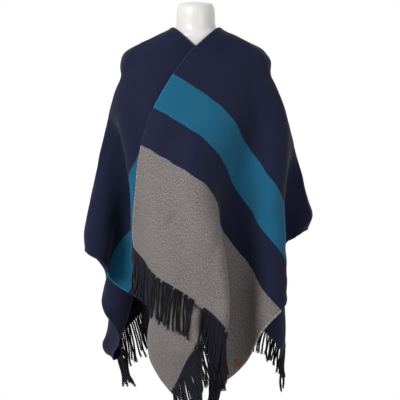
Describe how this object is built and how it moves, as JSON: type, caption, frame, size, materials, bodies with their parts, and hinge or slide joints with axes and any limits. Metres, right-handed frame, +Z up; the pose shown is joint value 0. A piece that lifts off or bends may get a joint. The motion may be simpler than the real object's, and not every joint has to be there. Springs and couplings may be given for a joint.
{
  "type": "poncho on a dress form",
  "caption": "Open-front woven wool poncho with broad colour bands and fringed hems, draped with one front over the other on a limbless dress form with a round-based stand.",
  "frame": {"origin": "centre of the base plate's underside, on the floor", "axes": "+Z up along the pole, -Y towards the front of the garment, +X towards the wearer's left"},
  "size_m": [0.6326, 0.5922, 1.511],
  "materials": {
    "navy_wool": "felted woven wool, soft matt nap",
    "navy_yarn": "twisted wool yarn, matt",
    "tab_leather": "smooth vegetable-tanned leather, low sheen",
    "white_form": "smooth glossy moulded shell",
    "black_metal": "black painted steel, low gloss"
  },
  "bodies": {
    "root": {"back_panel": "navy_wool", "front_panel_left": "navy_wool", "front_panel_right": "navy_wool", "fringe_front_left": "navy_yarn", "fringe_front_right": "navy_yarn", "fringe_back": "navy_yarn", "leather_tab": "tab_leather", "form_body": "white_form", "pole": "black_metal", "base_plate": "black_metal"}
  },
  "joints": []
}
